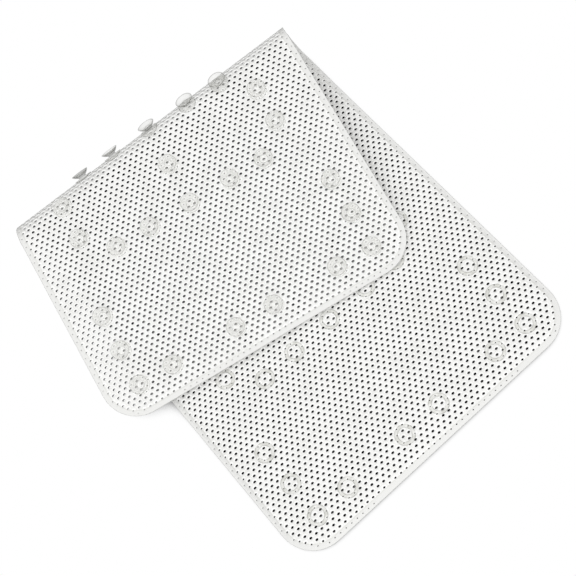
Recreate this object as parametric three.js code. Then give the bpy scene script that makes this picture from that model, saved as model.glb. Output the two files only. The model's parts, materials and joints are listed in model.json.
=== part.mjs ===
// A non-slip bath mat, folded over itself: a foam mesh sheet with clear suction cups on its underside.
// Millimetres, +Z up. The lying half runs along +Y from its free end to the fold, X goes across it.
import * as THREE from "three";

// The sheet laid flat
const MAT_WIDTH = 430;
const MAT_LENGTH = 910;
const SHEET_THICKNESS = 5;
const CORNER_RADIUS = 48;

// The fold: where the bend starts on the centreline, measured from the lying end, and its shape
const BEND_START = 522;
const BEND_RADIUS = 27.3;
const FOLD_SKEW = THREE.MathUtils.degToRad(6.1);
const FLAP_REST_GAP = 0.6;
const FOOT_SHARE = 1 / 6;
const STRIP_STEPS = 12;

// One suction cup: a weld flange, a waist and a hollow dish with a flat rim
const FLANGE_DIAMETER = 25;
const FLANGE_THICKNESS = 0.9;
const WAIST_DIAMETER = 10;
const WAIST_HEIGHT = 2.2;
const CUP_DIAMETER = 24;
const CUP_HEIGHT = 8;
const RIM_WIDTH = 1.2;
const DISH_FLOOR_DIAMETER = 9;
const DISH_FLOOR_HEIGHT = 4.2;
const CUP_SIDES = 12;

// The cup pattern: shares of half the mat's width from the centreline, and distances along the mat
const END_ROW_INSET = 37.3;
const END_ROW_SHARES = [0.126, 0.549, 0.775];
const SIDE_COLUMN_SHARE = 0.775;
const SIDE_COLUMN_STEP = 49.3;
const SIDE_COLUMN_COUNT = 2;
const OVAL_CENTRE_INSET = 262.3;
const OVAL_ROW_REACH = 58.4;
const OVAL_ROW_SHARES = [0.274, 0.502];
const OVAL_SIDE_SHARE = 0.676;
const OVAL_SIDE_REACH = 24;
const MIDDLE_SIDE_SHARE = 0.676;

// Clearances: between a cup and the sheet it is welded to, and between neighbouring lengths of sheet
const WELD_GAP = 0.3;
const SEAM_GAP = 0.3;

const foamWhite = new THREE.MeshStandardMaterial({ color: 0xf4f4f1, roughness: 0.8, metalness: 0 });
const clearPvc = new THREE.MeshStandardMaterial({ color: 0xe4e4dc, roughness: 0.25, metalness: 0 });

const halfWidth = MAT_WIDTH / 2;
const skewCos = Math.cos(FOLD_SKEW);
const skewSin = Math.sin(FOLD_SKEW);

// Distance past the start of the bend, square to the fold, of a point on the flat sheet.
function pastBend(x, y) {
  return x * skewSin + (y - BEND_START) * skewCos;
}

// Distance along the fold of a point on the flat sheet.
function alongFold(x, y) {
  return x * skewCos - (y - BEND_START) * skewSin;
}

// The bend turns past a half turn, so that the flap's nearest corner comes down onto the lying half.
function bendTurn() {
  const cornerReach = pastBend(halfWidth, MAT_LENGTH);
  const restHeight = SHEET_THICKNESS + FLAP_REST_GAP;
  let slope = 0;
  for (let pass = 0; pass < 12; pass += 1) {
    const flapReach = cornerReach - (Math.PI + slope) * BEND_RADIUS;
    const span = Math.hypot(BEND_RADIUS, flapReach);
    slope = Math.acos((restHeight - BEND_RADIUS) / span) - Math.atan2(flapReach, BEND_RADIUS);
  }
  return Math.PI + slope;
}

const turn = bendTurn();
const bendLength = turn * BEND_RADIUS;

// A frame on the middle of the folded sheet, at a distance along the fold and past the bend's start.
// Its +Y runs along the sheet and its -Z points out of the underside.
function sheetFrame(along, past) {
  const bent = THREE.MathUtils.clamp(past, 0, bendLength);
  const angle = bent / BEND_RADIUS;
  const straight = past - bent;
  const frame = new THREE.Group();
  frame.position.set(
    along,
    BEND_RADIUS * Math.sin(angle) + straight * Math.cos(angle),
    BEND_RADIUS * (1 - Math.cos(angle)) + straight * Math.sin(angle),
  );
  frame.rotation.x = angle;
  return frame;
}

function named(name, geometry, material) {
  const mesh = new THREE.Mesh(geometry, material);
  mesh.name = name;
  return mesh;
}

// The Y on the flat sheet at which the line at a distance past the bend's start crosses a given X.
function seamY(x, past) {
  return BEND_START + (past - x * skewSin) / skewCos;
}

// One half of the sheet, flat: round corners at its free end, and cut along the fold at the other.
function panelGeometry(freeEnd, seamPast) {
  const inward = freeEnd < BEND_START ? 1 : -1;
  const outline = new THREE.Shape();
  const cornerY = freeEnd + inward * CORNER_RADIUS;
  const cornerX = halfWidth - CORNER_RADIUS;
  outline.moveTo(halfWidth, seamY(halfWidth, seamPast));
  outline.lineTo(halfWidth, cornerY);
  outline.absarc(cornerX, cornerY, CORNER_RADIUS, 0, (-inward * Math.PI) / 2, inward > 0);
  outline.absarc(-cornerX, cornerY, CORNER_RADIUS, (-inward * Math.PI) / 2, -inward * Math.PI, inward > 0);
  outline.lineTo(-halfWidth, seamY(-halfWidth, seamPast));
  const geometry = new THREE.ExtrudeGeometry(outline, {
    depth: SHEET_THICKNESS,
    bevelEnabled: false,
    curveSegments: 8,
  });
  return geometry.translate(0, 0, -SHEET_THICKNESS / 2);
}

// One strip of the bend, right across the sheet: rings of four corners joined into one closed band.
function stripGeometry(firstPast, lastPast) {
  const positions = [];
  const faces = [];
  for (let step = 0; step <= STRIP_STEPS; step += 1) {
    const past = THREE.MathUtils.lerp(firstPast, lastPast, step / STRIP_STEPS);
    for (const side of [-1, 1]) {
      const along = (side * halfWidth - past * skewSin) / skewCos;
      const frame = sheetFrame(along, past);
      frame.updateMatrix();
      for (const face of [-1, 1]) {
        const corner = new THREE.Vector3(0, 0, (face * SHEET_THICKNESS) / 2).applyMatrix4(frame.matrix);
        positions.push(corner.x, corner.y, corner.z);
      }
    }
  }
  const around = [0, 1, 3, 2];
  for (let step = 0; step < STRIP_STEPS; step += 1) {
    around.forEach((corner, i) => {
      const next = around[(i + 1) % around.length];
      const here = step * 4;
      const there = here + 4;
      faces.push(here + corner, here + next, there + next);
      faces.push(here + corner, there + next, there + corner);
    });
  }
  const end = STRIP_STEPS * 4;
  faces.push(0, 2, 3, 0, 3, 1);
  faces.push(end, end + 3, end + 2, end, end + 1, end + 3);
  const geometry = new THREE.BufferGeometry();
  geometry.setAttribute("position", new THREE.Float32BufferAttribute(positions, 3));
  geometry.setIndex(faces);
  geometry.computeVertexNormals();
  return geometry;
}

// One cup, turned about its axis: its flange starts at 0 and its rim is at the cup's height.
function cupGeometry() {
  const profile = [
    [0, 0],
    [FLANGE_DIAMETER / 2, 0],
    [FLANGE_DIAMETER / 2, FLANGE_THICKNESS],
    [WAIST_DIAMETER / 2, WAIST_HEIGHT],
    [CUP_DIAMETER / 2, CUP_HEIGHT],
    [CUP_DIAMETER / 2 - RIM_WIDTH, CUP_HEIGHT],
    [DISH_FLOOR_DIAMETER / 2, DISH_FLOOR_HEIGHT],
    [0, DISH_FLOOR_HEIGHT],
  ];
  return new THREE.LatheGeometry(
    profile.map(([radius, height]) => new THREE.Vector2(radius, height)),
    CUP_SIDES,
  );
}

// The cups of one end of the mat, as places across the mat and along it from that end.
function endPattern() {
  const places = [];
  for (const side of [-1, 1]) {
    const edge = side * halfWidth;
    END_ROW_SHARES.forEach((share) => places.push([share * edge, END_ROW_INSET]));
    for (let step = 1; step <= SIDE_COLUMN_COUNT; step += 1) {
      places.push([SIDE_COLUMN_SHARE * edge, END_ROW_INSET + step * SIDE_COLUMN_STEP]);
    }
    places.push([0, OVAL_CENTRE_INSET + side * OVAL_ROW_REACH]);
    for (const reach of [-1, 1]) {
      const rowY = OVAL_CENTRE_INSET + reach * OVAL_ROW_REACH;
      OVAL_ROW_SHARES.forEach((share) => places.push([share * edge, rowY]));
      places.push([OVAL_SIDE_SHARE * edge, OVAL_CENTRE_INSET + reach * OVAL_SIDE_REACH]);
    }
  }
  places.push([0, OVAL_CENTRE_INSET]);
  return places;
}

// The cups in the middle of the mat: a row of three.
function middlePattern() {
  return [-MIDDLE_SIDE_SHARE, 0, MIDDLE_SIDE_SHARE].map((share) => [share * halfWidth, MAT_LENGTH / 2]);
}

// Cups at places on the flat sheet, each standing square on the underside where the fold takes it.
function addCups(fold, prefix, places, geometry) {
  places.forEach(([x, y], i) => {
    const cup = named(prefix + String(i + 1).padStart(2, "0"), geometry, clearPvc);
    cup.position.z = -SHEET_THICKNESS / 2 - WELD_GAP;
    cup.rotation.x = -Math.PI / 2;
    const anchor = sheetFrame(alongFold(x, y), pastBend(x, y));
    anchor.add(cup);
    fold.add(anchor);
  });
}

function buildMat() {
  const fold = new THREE.Group();
  fold.position.y = BEND_START;
  fold.rotation.z = -FOLD_SKEW;

  const lyingHalf = new THREE.Group();
  lyingHalf.rotation.z = FOLD_SKEW;
  const floorPanel = named("floor_panel", panelGeometry(0, -SEAM_GAP / 2), foamWhite);
  floorPanel.position.y = -BEND_START;
  lyingHalf.add(floorPanel);
  fold.add(lyingHalf);

  const cuts = [0, FOOT_SHARE * bendLength, (1 - FOOT_SHARE) * bendLength, bendLength];
  ["fold_foot", "fold_crown", "fold_head"].forEach((name, i) => {
    const strip = stripGeometry(cuts[i] + SEAM_GAP / 2, cuts[i + 1] - SEAM_GAP / 2);
    fold.add(named(name, strip, foamWhite));
  });

  const flapStart = sheetFrame(0, bendLength);
  const flapTurn = new THREE.Group();
  flapTurn.position.y = -bendLength;
  flapTurn.rotation.z = FOLD_SKEW;
  const flapPanel = named("flap_panel", panelGeometry(MAT_LENGTH, bendLength + SEAM_GAP / 2), foamWhite);
  flapPanel.position.y = -BEND_START;
  flapTurn.add(flapPanel);
  flapStart.add(flapTurn);
  fold.add(flapStart);

  const cup = cupGeometry();
  const floorPlaces = [...endPattern(), ...middlePattern()];
  const flapPlaces = endPattern().map(([x, y]) => [x, MAT_LENGTH - y]);
  addCups(fold, "floor_cup_", floorPlaces, cup);
  addCups(fold, "flap_cup_", flapPlaces, cup);

  const mat = new THREE.Group();
  mat.add(fold);
  mat.updateMatrixWorld(true);
  const box = new THREE.Box3().setFromObject(mat, true);
  const centre = box.getCenter(new THREE.Vector3());
  fold.position.sub(new THREE.Vector3(centre.x, centre.y, box.min.z));
  return mat;
}

export default buildMat();
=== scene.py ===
import json
import logging
import math
from dataclasses import dataclass
from enum import Enum

import bpy
import numpy as np
from mathutils import Matrix, Vector
from mathutils.geometry import delaunay_2d_cdt


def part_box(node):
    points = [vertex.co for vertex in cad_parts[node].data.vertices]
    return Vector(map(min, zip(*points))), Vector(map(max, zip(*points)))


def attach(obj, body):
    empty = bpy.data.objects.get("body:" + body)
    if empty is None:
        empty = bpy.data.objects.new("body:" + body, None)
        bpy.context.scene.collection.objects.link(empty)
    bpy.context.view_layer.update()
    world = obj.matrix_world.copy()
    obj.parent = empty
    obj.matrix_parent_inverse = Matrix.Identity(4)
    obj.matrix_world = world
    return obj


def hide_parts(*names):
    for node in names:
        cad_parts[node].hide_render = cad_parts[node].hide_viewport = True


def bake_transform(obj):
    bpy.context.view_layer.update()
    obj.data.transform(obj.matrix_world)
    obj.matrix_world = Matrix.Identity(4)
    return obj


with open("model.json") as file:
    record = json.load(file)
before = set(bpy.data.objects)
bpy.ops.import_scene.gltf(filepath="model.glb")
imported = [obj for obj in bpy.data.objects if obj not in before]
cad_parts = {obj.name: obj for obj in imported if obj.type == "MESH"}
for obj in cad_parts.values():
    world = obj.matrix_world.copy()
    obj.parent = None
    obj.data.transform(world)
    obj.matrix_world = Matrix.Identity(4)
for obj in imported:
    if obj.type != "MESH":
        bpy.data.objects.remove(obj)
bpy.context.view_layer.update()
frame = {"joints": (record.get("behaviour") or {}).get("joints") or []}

MM = 0.001
TINY = 1e-9
WHITE = (1.0, 1.0, 1.0, 1.0)

# The flat sheet, in millimetres.
MAT_WIDTH = 430.0
MAT_LENGTH = 910.0
SHEET_THICKNESS = 5.0

# Settings that many nodes share.
SMOOTH_STEP = {"interpolation_type": "SMOOTHSTEP"}
TIMES = {"operation": "MULTIPLY"}
MINUS = {"operation": "SUBTRACT"}

Pair = tuple[float, float]
Triple = tuple[float, float, float]
Socket = bpy.types.NodeSocket
Piece = bpy.types.Object
Array = np.ndarray
log = logging.getLogger("bath_mat")


class Body(Enum):
    """The bodies that the sheet and most cups ride on, from the lying half to the flap."""

    LYING = "floor_half"
    FOOT = "bend_foot"
    CROWN = "fold_spine"
    HEAD = "bend_head"
    FLAP = "flap"


class Slot(Enum):
    """The record's material slots."""

    FOAM = "foam_mesh"
    CUP = "clear_cup"


def linear(hex_colour: str) -> tuple[float, float, float, float]:
    """Turns an sRGB hex colour to linear light.

    Args:
        hex_colour: Six hex digits after a hash.

    Returns:
        Red, green, blue and an alpha of one.
    """
    channels = [int(hex_colour[i:i + 2], 16) / 255 for i in (1, 3, 5)]
    light = [c / 12.92 if c <= 0.04045 else ((c + 0.055) / 1.055) ** 2.4 for c in channels]
    return (light[0], light[1], light[2], 1.0)


@dataclass(frozen=True)
class NodeGraph:
    """The nodes of a material or a world."""

    tree: bpy.types.NodeTree

    @classmethod
    def of(cls, owner: bpy.types.Material | bpy.types.World) -> "NodeGraph":
        """Gives a material or a world an empty graph.

        Args:
            owner: The material or the world.

        Returns:
            Its graph.
        """
        owner.use_nodes = True
        owner.node_tree.nodes.clear()
        return cls(owner.node_tree)

    def add(self, kind: str, settings: dict | None = None, inputs: dict | None = None,
            output: str | int = 0) -> Socket | None:
        """Adds a node with its settings, and sets or links its inputs.

        Args:
            kind: The node's type name, without the start that they all share.
            settings: Attributes of the node, by name.
            inputs: Values or sockets for its inputs, by name or number. From and To are ranges.
            output: The output that is wanted, by name or number.

        Returns:
            That output, or nothing if the node has none.
        """
        node = self.tree.nodes.new("ShaderNode" + kind)
        for name, value in (settings or {}).items():
            setattr(node, name, value)
        for name, value in (inputs or {}).items():
            ends = [(name, value)]
            if name in ("From", "To"):
                ends = zip((f"{name} Min", f"{name} Max"), value)
            for socket, wanted in ends:
                if isinstance(wanted, Socket):
                    self.tree.links.new(wanted, node.inputs[socket])
                else:
                    node.inputs[socket].default_value = wanted
        return node.outputs[output] if node.outputs else None

    def band(self, distance: Socket, middle: float, fade: Pair, peak: float) -> tuple[Socket, Socket]:
        """Adds a soft band along a line.

        Args:
            distance: The distance that the line is measured by.
            middle: The distance at which the line runs.
            fade: How far off the line the band starts to fade, and where it ends.
            peak: The band's strength on the line.

        Returns:
            How far off the line a place is, and the band's strength there.
        """
        off = self.add("Math", MINUS, {0: distance, 1: middle})
        off = self.add("Math", {"operation": "ABSOLUTE"}, {0: off})
        return off, self.add("MapRange", SMOOTH_STEP, {"Value": off, "From": fade, "To": (peak, 0.0)})

    def layered(self, tone: str, *layers: tuple[Socket, str]) -> Socket:
        """Lays tones over one another.

        Args:
            tone: The lowest tone's hex colour.
            layers: How much each tone above it shows, with its hex colour.

        Returns:
            The colour.
        """
        colour = linear(tone)
        # Inputs 6 and 7 and output 2 of this node are its colours.
        for share, over in layers:
            colour = self.add("Mix", {"data_type": "RGBA"}, {0: share, 6: colour, 7: linear(over)}, 2)
        return colour


def smooth(value: Array, low: float, high: float) -> Array:
    """Goes from 0 where the values are at low to 1 where they are at high, with no kink."""
    share = np.clip((value - low) / (high - low), 0.0, 1.0)
    return share * share * (3.0 - 2.0 * share)


@dataclass(frozen=True)
class FoamedPvc:
    """Foamed PVC on a mesh backing, fused in an oven: a soft matt white skin with fine pores."""

    name: str = "foamed_pvc_fused_mesh"
    skin: str = "#EBEBE9"
    skin_shade: str = "#E3E3E0"
    # The ring of painted highlight round each hole.
    hole_highlight: str = "#FBFBFA"
    border: str = "#E2E2E0"
    # A grey line of painted shade for the groove inside the border.
    border_groove_shade: str = "#CFCFCA"
    weld: str = "#CDCDC7"
    # Dark lines of painted shade on the weld ring's edges, where it steps down.
    weld_step_shade: str = "#8A8A84"
    # Painted shade on the walls inside the holes.
    hole_wall_shade: str = "#101010"
    # Noises: their size in millimetres, and how many finer steps they have.
    mottle_noise: Pair = (26.0, 3.0)
    melt_noise: Pair = (7.0, 2.0)
    pore_noise: Pair = (1.1, 4.0)
    pore_depth_mm: float = 0.25
    pore_bump: float = 0.25
    mottle_range: Pair = (0.35, 0.6)
    hole_highlight_reach: Pair = (0.15, 0.75)
    border_mm: float = 7.0
    border_fade_mm: Pair = (-1.5, 1.0)
    groove_shade_fade_mm: Pair = (0.2, 1.1)
    groove_shade_peak: float = 0.5
    ring_radius_mm: float = 10.6
    ring_half_band_mm: float = 1.9
    ring_fade_mm: Pair = (-0.7, 0.4)
    ring_peak: float = 0.85
    weld_step_fade_mm: Pair = (0.1, 0.8)
    weld_step_peak: float = 0.7
    melt_range: Pair = (0.38, 0.62)
    least_melt: float = 0.45
    melt_under_flange: float = 0.12
    wall_depth: float = 0.07
    roughness: Pair = (0.58, 0.78)
    refraction: float = 1.45
    gloss: float = 0.05

    def material(self) -> bpy.types.Material:
        """Builds the finish.

        Returns:
            The material, which reads the sheet's own hole, edge and cup attributes.
        """
        material = bpy.data.materials.new(self.name)
        graph = NodeGraph.of(material)
        place = graph.add("TexCoord", output="Object")
        hole, edge, reach, through, unlit = (
            graph.add("Attribute", {"attribute_name": name}, output="Fac")
            for name in ("hole", "edge_mm", "cup_mm", "through", "unlit"))
        mottle, melt, pores = (
            graph.add("TexNoise", None,
                      {"Vector": place, "Scale": 1 / (size * MM), "Detail": detail}, "Fac")
            for size, detail in (self.mottle_noise, self.melt_noise, self.pore_noise))
        # The fused skin is cloudy over a couple of centimetres, so the white isn't one flat tone.
        cloud = graph.add("MapRange", None, {"Value": mottle, "From": self.mottle_range})
        # Each hole gets a painted highlight, a white ring where the foam rounds over into it, so the
        # skin in between looks a little greyer.
        hole_highlight = graph.add("MapRange", SMOOTH_STEP, {"Value": hole, "From": self.hole_highlight_reach})
        # The border is pressed thin under heat, which leaves it duller. The shallow groove along its
        # inner side is drawn as a grey line of painted shade.
        fade = tuple(self.border_mm + step for step in self.border_fade_mm)
        pressed = graph.add("MapRange", SMOOTH_STEP, {"Value": edge, "From": fade, "To": (1.0, 0.0)})
        _, line = graph.band(edge, self.border_mm, self.groove_shade_fade_mm, self.groove_shade_peak)
        # Each cup is welded through the sheet by a ring, where the foam has melted grey.
        half_band = self.ring_half_band_mm
        fade = tuple(half_band + step for step in self.ring_fade_mm)
        off_ring, ring = graph.band(reach, self.ring_radius_mm, fade, self.ring_peak)
        # The ring's two edges, where it steps down into the sheet, get dark lines of painted shade.
        _, rim = graph.band(off_ring, half_band, self.weld_step_fade_mm, self.weld_step_peak)
        # The melt is patchy, and on the underside the cup's flange lies over it, so less of it shows.
        shows = graph.add("MapRange", None,
                          {"Value": melt, "From": self.melt_range, "To": (self.least_melt, 1.0)})
        covered = graph.add("MapRange", None, {"Value": through, "To": (1.0, self.melt_under_flange)})
        shows = graph.add("Math", TIMES, {0: shows, 1: covered})
        ring, rim = (graph.add("Math", TIMES, {0: melted, 1: shows}) for melted in (ring, rim))
        # Inside the holes the raw foam is out of the light, so the walls get painted shade, darkest half
        # way through the sheet.
        far_side = graph.add("Math", MINUS, {0: 1.0, 1: through})
        inside = graph.add("Math", {"operation": "MINIMUM"}, {0: through, 1: far_side})
        wall = graph.add("MapRange", SMOOTH_STEP, {"Value": inside, "From": (0.0, self.wall_depth)})
        wall = graph.add("Math", TIMES, {0: wall, 1: unlit})
        colour = graph.layered(
            self.skin_shade, (cloud, self.skin), (hole_highlight, self.hole_highlight), (pressed, self.border),
            (line, self.border_groove_shade), (ring, self.weld), (rim, self.weld_step_shade), (wall, self.hole_wall_shade))
        # Pores of about a millimetre pit the skin.
        rough = graph.add("MapRange", None, {"Value": pores, "To": self.roughness})
        bump = graph.add("Bump", None,
                         {"Height": pores, "Strength": self.pore_bump,
                          "Distance": self.pore_depth_mm * MM})
        shader = graph.add("BsdfPrincipled", None,
                           {"Base Color": colour, "Roughness": rough, "Normal": bump,
                            "IOR": self.refraction, "Specular IOR Level": self.gloss})
        graph.add("OutputMaterial", None, {"Surface": shader})
        return material


@dataclass(frozen=True)
class ClearPvc:
    """Plasticised PVC, injection moulded: clear with a faint straw tint and a wet-looking gloss."""

    name: str = "clear_pvc_moulded"
    tint: str = "#FBFBF7"
    tint_cloud: str = "#F3F3ED"
    # Painted shade on the cups' walls and rims.
    wall_shade_tint: str = "#64645D"
    flow_noise: Pair = (9.0, 2.0)
    flow_range: Pair = (0.3, 0.65)
    cover: float = 0.17
    thick_cover: float = 0.55
    edge_cover: float = 0.85
    edge_start: float = 0.25
    shadow_share: float = 0.3
    roughness: Pair = (0.12, 0.24)
    refraction: float = 1.53
    gloss: float = 0.25

    def material(self) -> bpy.types.Material:
        """Builds the finish.

        Returns:
            The material, which reads how thick the plastic looks from the cups.
        """
        material = bpy.data.materials.new(self.name)
        graph = NodeGraph.of(material)
        place = graph.add("TexCoord", output="Object")
        # Flow lines of the moulding, a few millimetres apart, cloud the clear plastic a little.
        size, detail = self.flow_noise
        flow = graph.add("TexNoise", None,
                         {"Vector": place, "Scale": 1 / (size * MM), "Detail": detail}, "Fac")
        clear = graph.add("MapRange", None, {"Value": flow, "From": self.flow_range})
        # The outer wall and the rims are seen through more plastic, and get a darker tint there: painted
        # shade, for how clear plastic looks dark seen edge-on.
        thick = graph.add("Attribute", {"attribute_name": "thick"}, output="Fac")
        colour = graph.layered(self.tint_cloud, (clear, self.tint), (thick, self.wall_shade_tint))
        rough = graph.add("MapRange", None, {"Value": flow, "To": self.roughness})
        # Seen along its walls the plastic is thicker, so it hides more of what lies behind.
        facing = graph.add("LayerWeight", output="Facing")
        cover = graph.add("MapRange", None, {"Value": thick, "To": (self.cover, self.thick_cover)})
        alpha = graph.add("MapRange", SMOOTH_STEP,
                          {"Value": facing, "From": (self.edge_start, 1.0),
                           "To": (cover, self.edge_cover)})
        # The plastic counts where a look or a ray goes into it, and not again where it comes out.
        leaving = graph.add("NewGeometry", output="Backfacing")
        entering = graph.add("Math", MINUS, {0: 1.0, 1: leaving})
        # Light goes through the clear plastic, so a cup throws little shadow on the sheet.
        shadow = graph.add("LightPath", output="Is Shadow Ray")
        diffuse = graph.add("LightPath", output="Is Diffuse Ray")
        lit_through = graph.add("Math", {"operation": "MAXIMUM"}, {0: shadow, 1: diffuse})
        stopped = graph.add("MapRange", None, {"Value": lit_through, "To": (1.0, self.shadow_share)})
        for share in (entering, stopped):
            alpha = graph.add("Math", TIMES, {0: alpha, 1: share})
        shader = graph.add("BsdfPrincipled", None,
                           {"Base Color": colour, "Roughness": rough, "Alpha": alpha,
                            "IOR": self.refraction, "Specular IOR Level": self.gloss})
        graph.add("OutputMaterial", None, {"Surface": shader})
        return material


@dataclass(frozen=True)
class FoldShape:
    """How the flat sheet is folded over, in millimetres and radians on its middle surface."""

    origin: Vector
    turn: float
    bend_start: float = 522.0
    bend_radius: float = 27.3
    skew: float = math.radians(6.1)

    @property
    def bend_length(self) -> float:
        """The length of sheet that goes round the bend."""
        return self.turn * self.bend_radius

    @property
    def square(self) -> Array:
        """The direction on the flat sheet that is square to the fold."""
        return np.array([math.sin(self.skew), math.cos(self.skew)])

    def past(self, flat: Array) -> Array:
        """Gives how far places on the flat sheet are past the start of the bend, square to the fold."""
        return (flat - [0.0, self.bend_start]) @ self.square

    def folded(self, flat: Array, height: Array) -> Array:
        """Takes places on the flat sheet to where the fold puts them.

        Args:
            flat: Places on the flat sheet, across and along.
            height: Heights over the middle surface, positive on the tread side.

        Returns:
            Points of the frame, in metres.
        """
        cos, sin = math.cos(self.skew), math.sin(self.skew)
        past = self.past(flat)
        bent = np.clip(past, 0.0, self.bend_length)
        angle = bent / self.bend_radius
        straight = past - bent
        along = flat[:, 0] * cos - (flat[:, 1] - self.bend_start) * sin
        out = self.bend_radius * np.sin(angle) + straight * np.cos(angle) - height * np.sin(angle)
        up = self.bend_radius * (1 - np.cos(angle)) + straight * np.sin(angle) + height * np.cos(angle)
        points = np.stack([along * cos + out * sin, self.bend_start - along * sin + out * cos, up], 1)
        return points * MM + np.array(self.origin)

    def on_bend(self, share: float) -> Vector:
        """Gives the point at a share of the way round the bend, square to the fold.

        Args:
            share: From 0 at the lying half to 1 at the flap.

        Returns:
            The point, on the sheet's middle surface.
        """
        past = share * self.bend_length
        flat = np.array([0.0, self.bend_start]) + past * self.square
        return Vector(self.folded(flat[None, :], np.zeros(1))[0])


@dataclass(frozen=True)
class CupPattern:
    """Where the cups sit on the flat sheet, in millimetres and in shares of half its width."""

    end_row_inset: float = 37.3
    end_row_shares: tuple[float, ...] = (0.126, 0.549, 0.775)
    side_column_share: float = 0.775
    side_column_step: float = 49.3
    oval_centre_inset: float = 262.3
    oval_row_reach: float = 58.4
    oval_row_shares: tuple[float, ...] = (0.274, 0.502)
    oval_side_share: float = 0.676
    oval_side_reach: float = 24.0
    middle_side_share: float = 0.676

    def end_places(self) -> list[Pair]:
        """Lists the cups of one end of the mat, in the order of the CAD nodes.

        Returns:
            Places across the mat and along it from that end.
        """
        places = []
        for side in (-1, 1):
            edge = side * MAT_WIDTH / 2
            places += [(share * edge, self.end_row_inset) for share in self.end_row_shares]
            places += [(self.side_column_share * edge, self.end_row_inset + step * self.side_column_step)
                       for step in (1, 2)]
            places.append((0.0, self.oval_centre_inset + side * self.oval_row_reach))
            for reach in (-1, 1):
                row = self.oval_centre_inset + reach * self.oval_row_reach
                places += [(share * edge, row) for share in self.oval_row_shares]
                places.append((self.oval_side_share * edge,
                               self.oval_centre_inset + reach * self.oval_side_reach))
        places.append((0.0, self.oval_centre_inset))
        return places

    def lying_places(self) -> list[Pair]:
        """The cups of the lying half: those of its end, and three across the middle of the mat."""
        side = self.middle_side_share * MAT_WIDTH / 2
        return self.end_places() + [(across, MAT_LENGTH / 2) for across in (-side, 0.0, side)]

    def flap_places(self) -> list[Pair]:
        """The cups of the flap."""
        return [(across, MAT_LENGTH - along) for across, along in self.end_places()]


@dataclass
class FlatLayer:
    """The sheet's outline and holes as one flat layer of faces."""

    places: Array
    is_hole: Array
    faces: list[Array]


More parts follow.
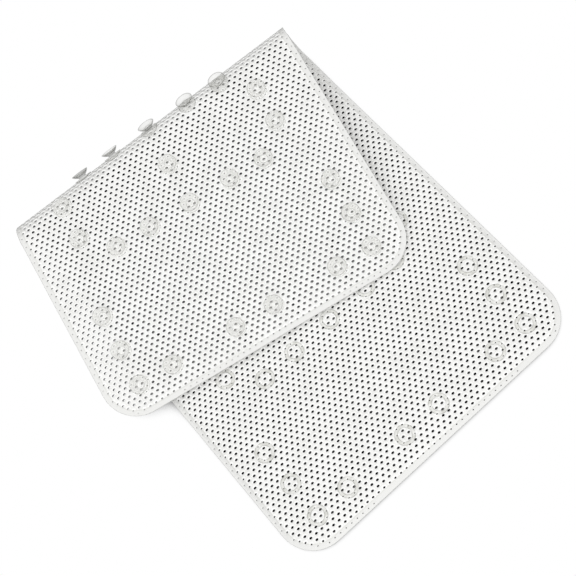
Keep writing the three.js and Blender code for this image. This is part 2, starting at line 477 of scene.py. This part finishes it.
@dataclass
class FoamSheet:
    """The foam mesh sheet: a staggered lattice of oval holes inside a pressed border."""

    fold: FoldShape
    cups: CupPattern
    finish: FoamedPvc
    width: float = MAT_WIDTH
    length: float = MAT_LENGTH
    corner_radius: float = 48.0
    corner_steps: int = 12
    outline_step: float = 6.0
    # The lattice of holes: its columns and rows on each side of the middle, its steps and its slant.
    lattice_reach: tuple[int, int] = (27, 82)
    hole_pitch: float = 8.635
    row_step: float = 5.90
    row_slant: float = 0.026
    # The holes measure about 3.5 by 2.3 mm. Six-sided and so small, they are drawn larger.
    hole_across: float = 4.4
    hole_along: float = 2.9
    # They are smaller where the sheet is pressed, by the distance from its edge and from a weld ring.
    least_hole: float = 0.45
    edge_holes: Pair = (4.0, 12.0)
    ring_holes: Pair = (1.4, 2.8)
    hole_margin: float = 3.4
    cell_margin: float = 1.4
    fill_tolerance: float = 1e-6
    # Where light gets into the holes, so their painted shade lifts: on shares of the bend, and near the
    # flap's end and the sides.
    bend_opens: Pair = (0.3, 0.5)
    bend_closes: Pair = (0.76, 0.97)
    bend_light: float = 0.9
    end_light_reach: Pair = (6.0, 32.0)
    end_shade: float = 0.35
    side_press: Pair = (3.0, 11.0)
    side_shade: float = 0.2
    # The relief: a rounded lip, a border that is pressed thin, weld rings, and the lying half's droop.
    lip: float = 0.7
    border_share: float = 0.5
    border_slope: Pair = (-4.0, 3.0)
    ring_depth: float = 0.7
    ring_slope: Pair = (0.8, 3.4)
    droop: float = 3.0
    droop_reach: float = 40.0
    droop_end: Pair = (-70.0, -15.0)
    # The two seams across the bend, and how far the tread side goes past them.
    crown_shares: Pair = (3 / 8, 5 / 8)
    cut_snap: float = 0.3
    on_seam: float = 0.001
    mitre: float = 1.2

    def edge_distance(self, flat: Array) -> Array:
        """Gives how far places on the flat sheet are inside its outline.

        Args:
            flat: Places on the flat sheet.

        Returns:
            Distances, negative outside.
        """
        half = np.array([self.width, self.length]) / 2
        corner = np.abs(flat - [0.0, half[1]]) - (half - self.corner_radius)
        outside = np.linalg.norm(np.maximum(corner, 0.0), axis=1)
        inside = np.minimum(corner.max(axis=1), 0.0)
        return self.corner_radius - outside - inside

    def cup_distance(self, flat: Array) -> Array:
        """Gives how far places on the flat sheet are from the nearest cup's axis.

        Args:
            flat: Places on the flat sheet.

        Returns:
            Distances.
        """
        nearest = np.full(len(flat), self.length)
        for place in self.cups.lying_places() + self.cups.flap_places():
            nearest = np.minimum(nearest, np.linalg.norm(flat - np.array(place), axis=1))
        return nearest

    def hole_shade(self, flat: Array, through: Array) -> Array:
        """Gives how little light the walls of holes get: less shade where the bend opens them to it.

        Args:
            flat: Places on the flat sheet.
            through: 0 for places on the tread side and 1 for those on the underside.

        Returns:
            Numbers from 0 in the light to 1 in the dark.
        """
        share = self.fold.past(flat) / self.fold.bend_length
        opened = smooth(share, *self.bend_opens) * (1 - smooth(share, *self.bend_closes))
        at_end = smooth(self.length - flat[:, 1], *self.end_light_reach)
        at_side = smooth(self.edge_distance(flat), *self.side_press)
        shade = 1 - self.bend_light * opened * through
        for least, inwards in ((self.end_shade, at_end), (self.side_shade, at_side)):
            shade = shade * (least + (1 - least) * inwards)
        return shade

    def pulled_in(self, flat: Array, margin: float) -> Array:
        """Moves places that are too near the outline, or outside it, straight in.

        Args:
            flat: Places on the flat sheet.
            margin: The least distance to the outline.

        Returns:
            The places, at least that far inside.
        """
        middle = np.array([0.0, self.length / 2])
        reach = np.array([self.width, self.length]) / 2 - self.corner_radius
        core = np.clip(flat - middle, -reach, reach)
        offset = flat - middle - core
        length = np.maximum(np.linalg.norm(offset, axis=1), TINY)
        return middle + core + offset * np.minimum(1.0, (self.corner_radius - margin) / length)[:, None]

    def outline(self, inset: float) -> Array:
        """Walks round the rounded outline, anticlockwise.

        Args:
            inset: How far inside the sheet's edge to walk.

        Returns:
            Points, no further apart than about one outline step.
        """
        radius = self.corner_radius - inset
        across, along = self.width / 2 - self.corner_radius, self.length - self.corner_radius
        start = self.corner_radius
        centres = [(across, start, -90), (across, along, 0), (-across, along, 90), (-across, start, 180)]
        points = []
        for x, y, facing in centres:
            for step in range(self.corner_steps + 1):
                angle = math.radians(facing + 90 * step / self.corner_steps)
                points.append((x + radius * math.cos(angle), y + radius * math.sin(angle)))
        walked = []
        for here, there in zip(points, points[1:] + points[:1]):
            count = max(1, round(math.dist(here, there) / self.outline_step))
            walked += [np.array(here) + (np.array(there) - here) * step / count for step in range(count)]
        return np.array(walked)

    def lattice_places(self, keys: Array) -> Array:
        """Finds lattice points on the flat sheet, whose hole rows run a little off square to its ends.

        Args:
            keys: Whole numbers, in half pitches across and thirds of a row step along.

        Returns:
            Places on the flat sheet.
        """
        places = keys * np.array([self.hole_pitch / 2, self.row_step / 3])
        places[..., 1] += self.length / 2 - self.row_slant * places[..., 0]
        return places

    def hole_sizes(self, centres: Array) -> Array:
        """Gives the size of each hole.

        Args:
            centres: The holes' places on the flat sheet.

        Returns:
            Shares of the full size.
        """
        off_ring = np.abs(self.cup_distance(centres) - self.finish.ring_radius_mm)
        by_edge = smooth(self.edge_distance(centres), *self.edge_holes)
        by_ring = smooth(off_ring, *self.ring_holes)
        least = self.least_hole
        return (least + (1 - least) * by_edge) * (least + (1 - least) * by_ring)

    def border_faces(self, places: Array, rings: list[Array]) -> Array:
        """Fills the border between the outermost cells and the outline.

        Args:
            places: The places of the flat layer.
            rings: The numbers of the places round the outermost cells, on the lip and on the outline.

        Returns:
            Triangles.
        """
        border = np.concatenate(rings)
        stops = np.cumsum([0] + [len(ring) for ring in rings]).tolist()
        edges = [(i, i + 1 if i + 1 < stop else start)
                 for start, stop in zip(stops, stops[1:]) for i in range(start, stop)]
        corners = [Vector(place) for place in places[border]]
        made = delaunay_2d_cdt(corners, edges, [], 0, self.fill_tolerance)
        triangles = np.array([sources[0] for sources in made[3]])[np.array(made[2])]
        # Those inside the first ring have all their corners on it, and go round in its order.
        first = triangles.argmin(axis=1)[:, None]
        ordered = np.take_along_axis(triangles, (first + np.arange(3)) % 3, axis=1)
        inside = (ordered < len(rings[0])).all(axis=1) & (ordered[:, 1] < ordered[:, 2])
        triangles = border[triangles[~inside]]
        return triangles[self.edge_distance(places[triangles].mean(axis=1)) > 0]

    def flat_layer(self) -> FlatLayer:
        """Lays out the holes, and fills the border between them and the outline.

        Returns:
            The flat layer.
        """
        columns, rows = self.lattice_reach
        keys = np.array([(2 * i + j % 2, 3 * j) for j in range(-rows, rows + 1)
                         for i in range(-columns, columns + 1)])
        around = np.array([(1, 1), (0, 2), (-1, 1), (-1, -1), (0, -2), (1, -1)])
        sides = len(around)
        keys = keys[self.edge_distance(self.lattice_places(keys)) > self.hole_margin]
        corner_keys = keys[:, None, :] + around[None, :, :]
        centres = self.lattice_places(keys)
        shared, index = np.unique(corner_keys.reshape(-1, 2), axis=0, return_inverse=True)
        index = index.reshape(-1, sides)
        shared = self.pulled_in(self.lattice_places(shared), self.cell_margin)
        turn = np.radians(30 + 60 * np.arange(sides))
        oval = np.stack([np.cos(turn) * self.hole_across / 2, np.sin(turn) * self.hole_along / 2], 1)
        holes = centres[:, None, :] + oval[None, :, :] * self.hole_sizes(centres)[:, None, None]
        hole_index = len(shared) + np.arange(len(keys) * sides).reshape(-1, sides)
        after, hole_after = np.roll(index, -1, axis=1), np.roll(hole_index, -1, axis=1)
        quads = np.stack([index, after, hole_after, hole_index], 2).reshape(-1, 4)

        # The steps from corner to corner that only one cell makes run round the outermost cells.
        steps = set(zip(index.ravel().tolist(), after.ravel().tolist()))
        follow = {a: b for a, b in steps if (b, a) not in steps}
        loop = [min(follow)]
        while follow[loop[-1]] != loop[0]:
            loop.append(follow[loop[-1]])
        lip, rim = self.outline(self.lip), self.outline(0.0)
        places = np.concatenate([shared, holes.reshape(-1, 2), lip, rim])
        first_rim = len(places) - len(rim)
        first_lip = first_rim - len(lip)
        rings = [np.array(loop), np.arange(first_lip, first_rim), np.arange(first_rim, len(places))]
        is_hole = np.zeros(len(places))
        is_hole[hole_index] = 1.0
        return FlatLayer(places, is_hole, [quads, self.border_faces(places, rings)])

    def cut(self, layer: FlatLayer, share: float) -> FlatLayer:
        """Cuts the faces of a flat layer along a straight line across the bend.

        Args:
            layer: The flat layer.
            share: Where the line is, as a share of the way round the bend.

        Returns:
            The layer, with no face across the line.
        """
        off = self.fold.past(layer.places) - share * self.fold.bend_length
        on_line = np.abs(off) < self.cut_snap
        places = list(layer.places - np.where(on_line, off, 0.0)[:, None] * self.fold.square)
        off = np.where(on_line, 0.0, off)
        is_hole = layer.is_hole.tolist()
        crossings: dict[tuple[int, int], int] = {}
        kept: dict[int, list[list[int]]] = {}
        for group in layer.faces:
            side = off[group]
            crosses = (side.min(axis=1) < 0) & (side.max(axis=1) > 0)
            kept.setdefault(group.shape[1], []).extend(group[~crosses].tolist())
            for face in group[crosses].tolist():
                before, after = [], []
                for a, b in zip(face, face[1:] + face[:1]):
                    before += [a] if off[a] <= 0 else []
                    after += [a] if off[a] >= 0 else []
                    if off[a] * off[b] >= 0:
                        continue
                    key = (min(a, b), max(a, b))
                    if key not in crossings:
                        step = off[a] / (off[a] - off[b])
                        crossings[key] = len(places)
                        places.append(places[a] + (places[b] - places[a]) * step)
                        is_hole.append(is_hole[a] + (is_hole[b] - is_hole[a]) * step)
                    before.append(crossings[key])
                    after.append(crossings[key])
                for half in (before, after):
                    kept.setdefault(len(half), []).append(half)
        groups = [np.array(group) for group in kept.values()]
        return FlatLayer(np.array(places), np.array(is_hole), groups)

    def mitred(self, flat: Array, section: int) -> Array:
        """Moves the ends of one length outwards, so that its tread side closes up when the fold opens.

        Args:
            flat: Places on the flat sheet.
            section: The number of the length.

        Returns:
            The places of its tread side.
        """
        past = self.fold.past(flat)
        moved = flat.copy()
        for seam, share in enumerate(self.crown_shares):
            at_seam = np.abs(past - share * self.fold.bend_length) < self.on_seam
            outwards = 1 if section <= seam else -1
            moved[at_seam] += outwards * self.mitre * self.fold.square
        return moved

    @staticmethod
    def faces_of_solid(faces: list[Array], count: int) -> list[Array]:
        """Gives a flat layer its underside and the walls round its edges and holes.

        Args:
            faces: The layer's faces, as arrays of corners, turned upwards.
            count: How many places the layer has. The underside's places follow them.

        Returns:
            The faces of the top, underside and walls.
        """
        steps = np.concatenate([np.stack([f, np.roll(f, -1, axis=1)], 2).reshape(-1, 2) for f in faces])
        codes = steps[:, 0].astype(np.int64) * count + steps[:, 1]
        backwards = steps[:, 1].astype(np.int64) * count + steps[:, 0]
        open_steps = steps[~np.isin(backwards, codes)]
        a, b = open_steps[:, 0], open_steps[:, 1]
        walls = np.stack([b, a, a + count, b + count], 1)
        underside = [f[:, ::-1] + count for f in faces]
        return faces + underside + [walls]

    @staticmethod
    def soft_normals(points: Array, faces: list[Array]) -> Array:
        """Averages the faces round each point, so that every edge shades as a soft round.

        Args:
            points: The points of the solid.
            faces: Its faces.

        Returns:
            One direction for each point.
        """
        normals = np.zeros_like(points)
        for group in faces:
            arms = points[group[:, 1:]] - points[group[:, :1]]
            facing = np.cross(arms[:, :-1], arms[:, 1:]).sum(axis=1)
            for k in range(group.shape[1]):
                np.add.at(normals, group[:, k], facing)
        return normals / np.linalg.norm(normals, axis=1, keepdims=True)

    def solid_points(self, places: Array, tread_places: Array) -> Array:
        """Gives the layer its thickness and relief, and folds it.

        Args:
            places: Places on the flat sheet.
            tread_places: The same places, as the tread side has them.

        Returns:
            The points of the tread side, then those of the underside.
        """
        edge = self.edge_distance(places)
        half = SHEET_THICKNESS / 2
        start, end = (self.finish.border_mm + step for step in self.border_slope)
        thinned = SHEET_THICKNESS * (1 - self.border_share) * (1 - smooth(edge, start, end))
        off_ring = np.abs(self.cup_distance(places) - self.finish.ring_radius_mm)
        pressed = self.ring_depth * (1 - smooth(off_ring, *self.ring_slope))
        lying = 1 - smooth(self.fold.past(places), *self.droop_end)
        sag = self.droop * lying * np.clip(1 - edge / self.droop_reach, 0.0, 1.0) ** 2
        tread = self.fold.folded(tread_places, half - thinned - pressed - sag)
        underside = self.fold.folded(places, -half - sag)
        return np.concatenate([tread, underside])

    def build(self) -> list[Piece]:
        """Makes the sheet as three lengths that meet on the bend.

        Returns:
            The lying length, the crown of the bend and the flap.
        """
        layer = self.flat_layer()
        for share in self.crown_shares:
            layer = self.cut(layer, share)
        count = len(layer.places)
        whole = self.solid_points(layer.places, layer.places)
        normals = self.soft_normals(whole, self.faces_of_solid(layer.faces, count))
        seams = np.array(self.crown_shares) * self.fold.bend_length
        sections = [np.searchsorted(seams, self.fold.past(layer.places[group].mean(axis=1)))
                    for group in layer.faces]
        pieces = []
        for number, name in enumerate(("foam_sheet_lying", "foam_sheet_crown", "foam_sheet_flap")):
            faces = [group[section == number] for group, section in zip(layer.faces, sections)]
            solid = self.faces_of_solid(faces, count)
            points = self.solid_points(layer.places, self.mitred(layer.places, number))
            pieces.append(self.piece(name, layer, points, normals, solid))
        return pieces

    def piece(self, name: str, layer: FlatLayer, points: Array, normals: Array,
              faces: list[Array]) -> Piece:
        """Makes one piece of the sheet as an object.

        Args:
            name: The piece's name.
            layer: The flat layer that the sheet came from.
            points: The points of the whole sheet.
            normals: The shading directions of the whole sheet.
            faces: The faces of this piece.

        Returns:
            The object.
        """
        used = np.unique(np.concatenate([group.ravel() for group in faces]))
        renumber = np.zeros(len(points), int)
        renumber[used] = np.arange(len(used))
        mesh = bpy.data.meshes.new(name)
        corners = [face for group in faces for face in renumber[group].tolist()]
        mesh.from_pydata(points[used].tolist(), [], corners)
        mesh.polygons.foreach_set("use_smooth", np.ones(len(corners), bool))
        count = len(layer.places)
        flat, is_hole = layer.places[used % count], layer.is_hole[used % count]
        through = (used >= count).astype(float)
        values = {
            "hole": is_hole,
            "unlit": is_hole * self.hole_shade(flat, through),
            "edge_mm": self.edge_distance(flat),
            "cup_mm": self.cup_distance(flat),
            "through": through,
        }
        for attribute, numbers in values.items():
            data = mesh.attributes.new(attribute, "FLOAT", "POINT").data
            data.foreach_set("value", numbers.astype(np.float32))
        mesh.update()
        mesh.normals_split_custom_set_from_vertices(normals[used].tolist())
        piece = bpy.data.objects.new(name, mesh)
        bpy.context.scene.collection.objects.link(piece)
        return piece

    def dress(self, pieces: list[Piece]) -> None:
        """Gives the lengths their finish, hangs the crown on its body, fixes the other two where they
        stand and hides the CAD parts they replace.

        Args:
            pieces: The lying length, the crown and the flap.
        """
        material = self.finish.material()
        lying, crown, flap = pieces
        for piece in pieces:
            piece.data.materials.append(material)
        # The crown turns as one, on its own body.
        self.fold.on_bend(0.0)
        self.fold.on_bend(0.25)
        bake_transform(lying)
        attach(crown, Body.CROWN.value)
        self.fold.on_bend(0.75)
        self.fold.on_bend(1.0)
        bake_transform(flap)
        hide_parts("floor_panel", "fold_foot")
        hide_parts("fold_crown")
        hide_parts("flap_panel", "fold_head")


@dataclass
class SuctionCups:
    """The clear cups on the underside: a weld flange, a waist and a hollow dish with a soft rim."""

    fold: FoldShape
    pattern: CupPattern
    finish: ClearPvc
    sides: int = 36
    crease_degrees: float = 50.0
    flange_radius: float = 12.5
    waist_radius: float = 5.0
    rim_radius: float = 12.0
    height: float = 8.3
    # The cup bends with the sheet up to the first of these heights, and not at all from the second.
    bends_until: Pair = (1.2, 2.4)
    # The step along the sheet by which a cup finds the direction that it runs in.
    direction_step: float = 0.01
    # Cups that stand out from the bend, seen edge-on and turned away from the light, look greyer with
    # painted shade from these shares of it on.
    bend_cup_shade: float = 0.38
    bend_shade_from: Pair = (0.05, 0.12)

    def profile(self) -> list[Triple]:
        """Walks the cup's section from the flange's back, just off the sheet, to the middle of the dish.

        Returns:
            Radii, heights over the sheet, and how thick the plastic looks there, from 0 to 1, which also
            sets how much painted shade it gets.
        """
        flange, waist, rim, top = self.flange_radius, self.waist_radius, self.rim_radius, self.height
        return [
            (flange - 0.3, 0.15, 0.2), (flange, 0.4, 0.8), (flange, 0.95, 0.8),
            (flange - 0.35, 1.2, 0.2), (waist + 1.6, 1.35, 0.0), (waist + 0.3, 1.8, 0.6),
            (waist, 2.4, 1.0), (waist + 1.3, 3.2, 1.0), (waist + 3.6, 4.6, 1.0),
            (rim - 1.2, 6.6, 1.0), (rim - 0.15, 7.9, 1.0), (rim, top, 1.0), (rim - 0.8, top, 0.5),
            (rim - 1.4, 7.5, 0.0), (waist + 3.8, 5.9, 0.0), (waist + 1.8, 4.9, 0.0),
            (waist - 0.6, 4.45, 0.1), (waist - 1.2, 4.75, 0.4), (waist - 1.9, 4.75, 0.4),
            (waist - 2.4, 4.45, 0.1),
        ]

    def model_cup(self) -> Piece:
        """Models one cup about the Z axis, pulled up ring by ring from a disc.

        Returns:
            The cup's object, with its flange on the ground.
        """
        bpy.ops.object.select_all(action="DESELECT")
        steps = [(radius * MM, height * MM) for radius, height, _ in self.profile()]
        radius, height = steps[0]
        bpy.ops.mesh.primitive_circle_add(vertices=self.sides, radius=radius, fill_type="TRIFAN",
                                          location=(0.0, 0.0, height))
        cup = bpy.context.object
        bpy.ops.object.mode_set(mode="EDIT")
        bpy.ops.mesh.select_mode(type="EDGE")
        bpy.ops.mesh.select_all(action="SELECT")
        bpy.ops.mesh.region_to_loop()
        for next_radius, next_height in steps[1:]:
            bpy.ops.mesh.extrude_edges_move(
                TRANSFORM_OT_translate={"value": (0.0, 0.0, next_height - height)})
            share = next_radius / radius
            bpy.ops.transform.resize(value=(share, share, 1.0), center_override=(0.0, 0.0, 0.0))
            radius, height = next_radius, next_height
        bpy.ops.mesh.extrude_edges_move(TRANSFORM_OT_translate={"value": (0.0, 0.0, 0.0)})
        bpy.ops.mesh.merge(type="CENTER")
        bpy.ops.mesh.select_all(action="SELECT")
        bpy.ops.mesh.normals_make_consistent(inside=False)
        bpy.ops.object.mode_set(mode="OBJECT")
        bpy.ops.object.transform_apply(location=True, rotation=False, scale=False)
        bpy.ops.object.shade_smooth_by_angle(angle=math.radians(self.crease_degrees))
        points = np.array([vertex.co for vertex in cup.data.vertices])
        section = np.stack([np.hypot(points[:, 0], points[:, 1]), points[:, 2]], 1)
        apart = section[:, None, :] - np.array(steps)[None, :, :]
        nearest = np.linalg.norm(apart, axis=2).argmin(axis=1)
        thick = np.array([look for _, _, look in self.profile()], np.float32)[nearest]
        cup.data.attributes.new("thick", "FLOAT", "POINT").data.foreach_set("value", thick)
        return cup

    def placed(self, points: Array, place: Pair) -> Array:
        """Stands a cup square on the underside where the fold takes it, its flange bent with the sheet.

        Args:
            points: The cup's points about the Z axis, in metres.
            place: The cup's place on the flat sheet.

        Returns:
            The cup's points in the frame.
        """
        half = SHEET_THICKNESS / 2
        flat = np.array([place, (place[0], place[1] + self.direction_step)])
        under, ahead = self.fold.folded(flat, np.full(2, -half))
        over = self.fold.folded(flat[:1], np.full(1, half))[0]
        out = (under - over) / np.linalg.norm(under - over)
        across = np.cross(ahead - under, out)
        across = across / np.linalg.norm(across)
        rigid = under + points @ np.stack([across, np.cross(out, across), out])
        spread = np.array(place) + points[:, :2] * (-1.0, 1.0) / MM
        bent = self.fold.folded(spread, -half - points[:, 2] / MM)
        follows = 1 - smooth(points[:, 2:] / MM, *self.bends_until)
        return rigid + (bent - rigid) * follows

    def body_of(self, prefix: str, number: int, place: Pair) -> str:
        """Names the body that a cup rides on: a flap cup that sits on the bend has one of its own.

        Args:
            prefix: The start of the cup's CAD name.
            number: The cup's number.
            place: The cup's place on the flat sheet.

        Returns:
            The body's name.
        """
        if prefix == "floor_cup_":
            return Body.LYING.value
        if self.fold.past(np.array([place]))[0] < self.fold.bend_length:
            return f"bend_cup_{number:02d}"
        return Body.FLAP.value

    def build(self) -> dict[str, list[Piece]]:
        """Copies the cup to each of its places.

        Returns:
            The cups of each body.
        """
        master = self.model_cup()
        points = np.array([vertex.co for vertex in master.data.vertices])
        looks = np.zeros(len(points), np.float32)
        master.data.attributes["thick"].data.foreach_get("value", looks)
        made: dict[str, list[Piece]] = {}
        groups = (("floor_cup_", self.pattern.lying_places()), ("flap_cup_", self.pattern.flap_places()))
        for prefix, places in groups:
            for number, place in enumerate(places, 1):
                cup = master.copy()
                cup.data = master.data.copy()
                cup.name = f"clear_{prefix}{number:02d}"
                cup.data.vertices.foreach_set("co", self.placed(points, place).ravel())
                cup.data.update()
                bpy.context.scene.collection.objects.link(cup)
                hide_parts(f"{prefix}{number:02d}")
                body = self.body_of(prefix, number, place)
                # Cups on the bend get extra painted shade through their thickness attribute.
                turned = 1 - self.fold.past(np.array([place])) / self.fold.bend_length
                bend_shade = self.bend_cup_shade * smooth(turned, *self.bend_shade_from)
                on_bend = bend_shade if body.startswith("bend_cup") else 0.0
                thick = np.minimum(1.0, looks + on_bend).astype(np.float32)
                cup.data.attributes["thick"].data.foreach_set("value", thick)
                made.setdefault(body, []).append(cup)
        bpy.data.objects.remove(master)
        return made

    def dress(self, cups: dict[str, list[Piece]]) -> None:
        """Gives the cups their finish and motion.

        Args:
            cups: The cups of each body.
        """
        material = self.finish.material()
        for body, group in cups.items():
            for cup in group:
                cup.data.materials.clear()
                cup.data.materials.append(material)
                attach(cup, body)


@dataclass(frozen=True)
class Studio:
    """A white floor, soft light from above and the camera of the photograph."""

    image_width: float = 576.0
    focal_pixels: float = 1000.5
    centre_pixel: Pair = (308.6, 287.8)
    camera_place: Triple = (0.0202, -0.4311, 1.1941)
    camera_right: Triple = (0.7360, -0.6449, -0.2059)
    camera_up: Triple = (0.6768, 0.6950, 0.2425)
    sensor_mm: float = 36.0
    floor_size: float = 12.0
    floor_drop: float = 0.0003
    # The floor's shade: how far off the mat still counts, and from how open to how shut off it goes.
    shade_reach: float = 0.05
    shade_range: Pair = (0.12, 0.7)
    darkest_floor: float = 0.008
    lamp_watts: float = 10.0
    lamp_size: float = 1.2
    lamp_place: Triple = (-0.25, -0.8, 1.9)
    dome_axis: Triple = (0.02, -0.25, 0.97)
    dome_strengths: Pair = (0.1, 1.37)
    floor_bounce: float = 0.35

    def add_floor(self) -> None:
        """Lays a wide floor that is white to the eye and keeps the mat's shadow."""
        bpy.ops.object.select_all(action="DESELECT")
        bpy.ops.mesh.primitive_plane_add(size=self.floor_size, location=(0.0, 0.0, -self.floor_drop))
        floor = bpy.context.object
        floor.name = "studio_floor"
        material = bpy.data.materials.new("matt_white_studio_floor")
        graph = NodeGraph.of(material)
        seen = graph.add("LightPath", output="Is Camera Ray")
        for ray in ("Is Glossy Ray", "Is Transmission Ray"):
            also = graph.add("LightPath", output=ray)
            seen = graph.add("Math", {"operation": "MAXIMUM"}, {0: seen, 1: also})
        # Near the mat the floor is shut off from the light, which keeps the shadow under and round it.
        open_sky = graph.add("AmbientOcclusion", None, {"Distance": self.shade_reach}, "AO")
        shade = graph.add("MapRange", SMOOTH_STEP,
                          {"Value": open_sky, "From": self.shade_range, "To": (self.darkest_floor, 1.0)})
        white = graph.add("Emission", None, {"Color": WHITE, "Strength": shade})
        # It isn't there from below, nor for the light, so the cups under the mat can be looked at too.
        below = graph.add("NewGeometry", output="Backfacing")
        above = graph.add("Math", MINUS, {0: 1.0, 1: below})
        seen = graph.add("Math", TIMES, {0: seen, 1: above})
        one_sided = graph.add("MixShader", None, {0: seen, 1: graph.add("BsdfTransparent"), 2: white})
        graph.add("OutputMaterial", None, {"Surface": one_sided})
        floor.data.materials.append(material)

    def add_light(self) -> None:
        """Hangs a wide soft lamp over the front of the mat, in a pale room."""
        lamp = bpy.data.lights.new("overhead_softbox", "AREA")
        lamp.energy = self.lamp_watts
        lamp.size = self.lamp_size
        holder = bpy.data.objects.new("overhead_softbox", lamp)
        place = Vector(self.lamp_place)
        holder.location = place
        holder.rotation_euler = (Vector((0.0, 0.0, 0.0)) - place).to_track_quat("-Z", "Y").to_euler()
        bpy.context.scene.collection.objects.link(holder)
        world = bpy.data.worlds.new("pale_room")
        graph = NodeGraph.of(world)
        facing = graph.add("TexCoord", output="Generated")
        rise = graph.add("SeparateXYZ", None, {0: facing}, "Z")
        to_light = graph.add("VectorMath", {"operation": "DOT_PRODUCT"},
                             {0: facing, 1: Vector(self.dome_axis).normalized()}, "Value")
        strength = graph.add("MapRange", None, {"Value": to_light, "To": self.dome_strengths})
        # From below comes what the floor would throw back.
        bounce = graph.add("MapRange", None,
                           {"Value": rise, "From": (-1.0, 0.0), "To": (self.floor_bounce, 0.0)})
        strength = graph.add("Math", {"operation": "ADD"}, {0: strength, 1: bounce})
        # The room gives its light as a dome does, and is plain white to the eye.
        seen = graph.add("LightPath", output="Is Camera Ray")
        strength = graph.add("Mix", {"data_type": "FLOAT"}, {0: seen, 2: strength, 3: 1.0})
        room = graph.add("Background", None, {"Color": WHITE, "Strength": strength})
        graph.add("OutputWorld", None, {"Surface": room})
        bpy.context.scene.world = world

    def add_camera(self) -> None:
        """Puts the camera where the photograph was taken from."""
        right, up = Vector(self.camera_right).normalized(), Vector(self.camera_up).normalized()
        back = right.cross(up).normalized()
        up = back.cross(right)
        data = bpy.data.cameras.new("photo_camera")
        data.sensor_width = self.sensor_mm
        data.lens = self.focal_pixels / self.image_width * data.sensor_width
        data.shift_x = (self.image_width / 2 - self.centre_pixel[0]) / self.image_width
        data.shift_y = (self.centre_pixel[1] - self.image_width / 2) / self.image_width
        camera = bpy.data.objects.new("photo_camera", data)
        turned = Matrix((right, up, back)).transposed().to_4x4()
        camera.matrix_world = Matrix.Translation(Vector(self.camera_place)) @ turned
        bpy.context.scene.collection.objects.link(camera)
        bpy.context.scene.camera = camera


def main() -> None:
    """Builds the mat piece by piece, dresses it and sets it in the studio."""
    logging.basicConfig(level=logging.INFO, format="%(name)s: %(message)s")
    bpy.context.scene.view_settings.view_transform = "Standard"
    low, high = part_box("floor_panel")
    pattern = CupPattern()
    origin = Vector((high.x - MAT_WIDTH / 2 * MM, low.y, (low.z + high.z) / 2))
    unfolding = [joint for joint in frame["joints"] if joint["name"].startswith("unfold")]
    turn = math.radians(sum(joint["range_deg"][1] for joint in unfolding))
    fold = FoldShape(origin, turn)
    sheet = FoamSheet(fold, pattern, FoamedPvc())
    pieces = sheet.build()
    sheet.dress(pieces)
    for piece in pieces:
        log.info("%s: %d faces", piece.name, len(piece.data.polygons))
    cups = SuctionCups(fold, pattern, ClearPvc())
    made = cups.build()
    cups.dress(made)
    for body, group in made.items():
        log.info("%d cups on %s", len(group), body)
    studio = Studio()
    studio.add_floor()
    studio.add_light()
    studio.add_camera()


if __name__ == "__main__":
    main()
